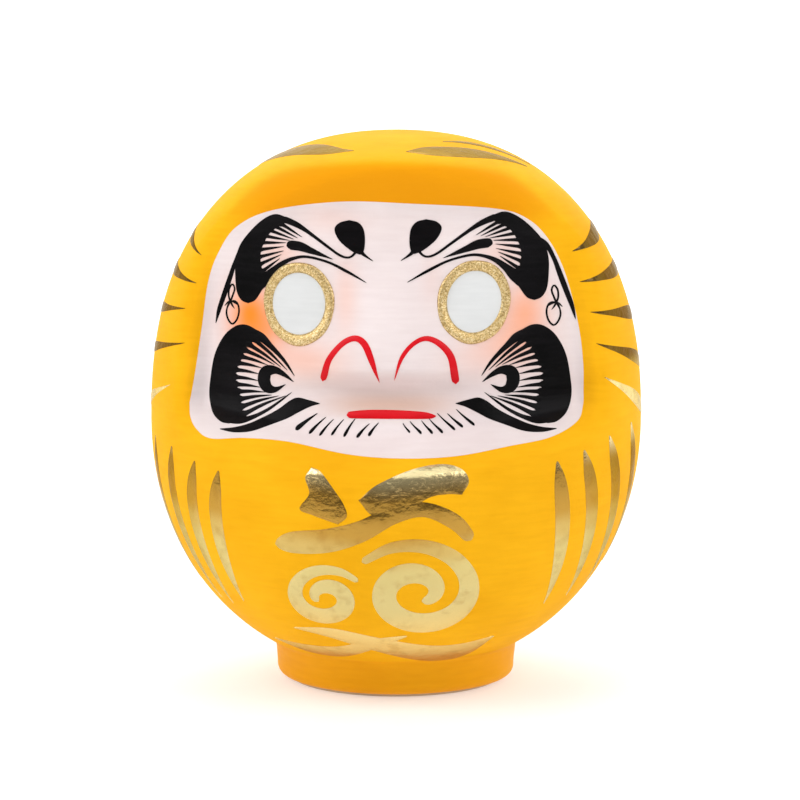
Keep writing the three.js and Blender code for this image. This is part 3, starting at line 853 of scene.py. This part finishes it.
def scroll(centre_x, centre_z, start_radius, end_radius, start_turn, end_turn, width):
    """A spiral brush stroke: with t the way gone, the radius falls as t^0.85 while the angle runs evenly from
    start to end, in turns. The brush is fullest halfway along, by sin(pi t)^0.8, and the spiral is squashed
    a little in height."""
    t = np.linspace(0, 1, 20)
    radius = start_radius + (end_radius - start_radius) * t ** 0.85
    angle = 2 * np.pi * (start_turn + (end_turn - start_turn) * t)
    full = width * (0.3 + 0.7 * np.sin(np.pi * t) ** 0.8)
    line = [centre_x + radius * np.cos(angle), centre_z + 0.84 * radius * np.sin(angle), full]
    return brushed(np.stack(line, axis=-1), 160, 9)


belly = [
    mass([(-15.2, 53.2), (-16.4, 51.2), (-15.6, 48.0), (-17.6, 44.8), (-14.8, 43.6), (-9.6, 42.0)],
         [(-15.2, 53.2), (-13.2, 52.4), (-10.6, 49.2), (-8.4, 46.0), (-7.8, 43.6), (-9.6, 42.0)]),
    mass([(-5.4, 47.0), (-1.6, 50.2), (5.0, 53.0), (11.4, 54.0), (15.6, 53.0), (17.0, 50.6), (15.6, 48.0)],
         [(-5.4, 47.0), (-2.0, 43.8), (4.0, 44.8), (9.0, 47.6), (12.6, 48.2), (15.6, 48.0)]),
    scroll(6.6, 27.2, 14.0, 2.4, start_turn=0.40, end_turn=-1.20, width=5.0),
    scroll(-12.6, 25.6, 8.6, 1.8, start_turn=0.10, end_turn=1.60, width=3.8),
    brushed([(-22.8, 37.0, 2.0), (-19.0, 37.6, 4.6), (-12.0, 38.4, 5.0), (-5.0, 40.6, 4.4),
             (1.6, 44.0, 3.6), (8.0, 45.2, 3.0), (14.0, 42.6, 3.2), (17.6, 38.6, 2.4)], 100, 9),
    brushed([(-20.0, 17.2, 0.3), (-12.0, 16.8, 2.6), (-3.0, 14.4, 3.8), (8.0, 11.4, 5.0),
             (15.0, 11.6, 4.2), (22.0, 14.8, 0.3)], 100, 9),
    brushed([(-25.0, 12.6, 0.3), (-17.0, 11.2, 2.6), (-10.0, 11.6, 3.2), (-3.0, 14.4, 2.6),
             (4.0, 16.6, 0.4)], 90, 9),
]
film_object("gold_belly_scroll", front_skin, belly, gold, stand=0.05, crown=0.08)

# ---- stage ----
# A pale floor that sweeps up behind the doll, soft boxes over it, on either side and behind it, and a room
# whose walls are dim and whose ceiling is bright.

FLOOR_HALF_WIDTH, FLOOR_FRONT, FLOOR_BACK = 4.5, -4.5, 0.5
SWEEP_RADIUS, SWEEP_TOP = 0.5, 1.9

stage_paint = coat_material("stage_paper", (0.58, 0.58, 0.58), (0.62, 0.62, 0.62), 0.9, 0.02, grain=200)

# The floor glows more the further it is from the doll, so the soft shadow keeps and the edges stay white.
nodes, links = stage_paint.node_tree.nodes, stage_paint.node_tree.links
from_doll = nodes.new("ShaderNodeVectorMath")
from_doll.operation = "LENGTH"
links.new(nodes.new("ShaderNodeTexCoord").outputs["Object"], from_doll.inputs[0])
glow = ranged(nodes, links, from_doll.outputs["Value"], 0.1, 1.2, 0.45, 1.05)
links.new(glow, nodes["Principled BSDF"].inputs["Emission Strength"])
nodes["Principled BSDF"].inputs["Emission Color"].default_value = (1, 1, 1, 1)

# A level run, a quarter circle and an upright run, seen from the side, carried across the floor's width.
level_y = np.linspace(FLOOR_FRONT, FLOOR_BACK, 20)[:-1]
bend = np.linspace(0, np.pi / 2, 24)
upright_z = np.linspace(SWEEP_RADIUS, SWEEP_TOP, 9)[1:]
sweep_y = np.concatenate([level_y, FLOOR_BACK + SWEEP_RADIUS * np.sin(bend),
                          np.full_like(upright_z, FLOOR_BACK + SWEEP_RADIUS)])
sweep_z = np.concatenate([np.zeros_like(level_y), SWEEP_RADIUS * (1 - np.cos(bend)), upright_z])
sweep_x = np.linspace(-FLOOR_HALF_WIDTH, FLOOR_HALF_WIDTH, 12)
sweep_grid = np.stack(np.broadcast_arrays(sweep_x[:, None], sweep_y[None, :], sweep_z[None, :]), axis=-1)
sweep = bpy.data.meshes.new("floor_sweep")
sweep.from_pydata(sweep_grid.reshape(-1, 3).tolist(), [],
                  grid_quads(*sweep_grid.shape[:2])[:, ::-1].tolist())
sweep.shade_smooth()
sweep.materials.append(stage_paint)
floor = bpy.data.objects.new("floor_sweep", sweep)
bpy.context.scene.collection.objects.link(floor)


def softbox(name, turn, rise, away, size, power):
    """A square light aimed at the doll's middle, at a turn from the front and a rise above level, both in
    degrees, and a distance in metres."""
    lamp = bpy.data.lights.new(name, "AREA")
    lamp.shape = "SQUARE"
    lamp.size = size
    lamp.energy = power
    holder = bpy.data.objects.new(name, lamp)
    turn, rise = np.radians(turn), np.radians(rise)
    from_doll = Vector((np.sin(turn) * np.cos(rise), -np.cos(turn) * np.cos(rise), np.sin(rise))) * away
    holder.location = from_doll + Vector((0, 0, HEIGHT * MM / 2))
    holder.rotation_euler = (-from_doll).to_track_quat("-Z", "Y").to_euler()
    bpy.context.scene.collection.objects.link(holder)


softbox("overhead", turn=-8, rise=66, away=1.1, size=0.9, power=2.5)
softbox("left_side", turn=-60, rise=38, away=1.1, size=0.8, power=6.9)
softbox("right_side", turn=60, rise=38, away=1.1, size=0.8, power=5.7)
softbox("behind", turn=180, rise=58, away=1.3, size=0.8, power=4.5)

WALLS, CEILING = 0.12, 0.28
world = bpy.data.worlds.new("studio")
bpy.context.scene.world = world
world.use_nodes = True
nodes, links = world.node_tree.nodes, world.node_tree.links
direction = nodes.new("ShaderNodeSeparateXYZ")
links.new(nodes.new("ShaderNodeTexCoord").outputs["Generated"], direction.inputs["Vector"])
brightness = ranged(nodes, links, direction.outputs["Z"], 0.60, 0.78, WALLS, CEILING, "SMOOTHSTEP")
links.new(brightness, nodes["Background"].inputs["Strength"])
nodes["Background"].inputs["Color"].default_value = (1, 1, 1, 1)

# ---- camera ----
# A long lens, a little above the doll and a little to its right.

CAMERA_AWAY, CAMERA_UP, CAMERA_TURN = 0.700, 0.150, 2.5
eye = bpy.data.cameras.new("camera")
eye.lens = 145.1
eye.sensor_width = 36
eye.shift_x = 0.005
eye.shift_y = 0.00625
camera = bpy.data.objects.new("camera", eye)
bpy.context.scene.collection.objects.link(camera)
turn = np.radians(CAMERA_TURN)
camera.location = (CAMERA_AWAY * np.sin(turn), -CAMERA_AWAY * np.cos(turn), CAMERA_UP)
aim = Vector((0, 0, HEIGHT * MM / 2)) - camera.location
camera.rotation_euler = aim.to_track_quat("-Z", "Y").to_euler()
bpy.context.scene.camera = camera
bpy.context.scene.view_settings.view_transform = "Standard"
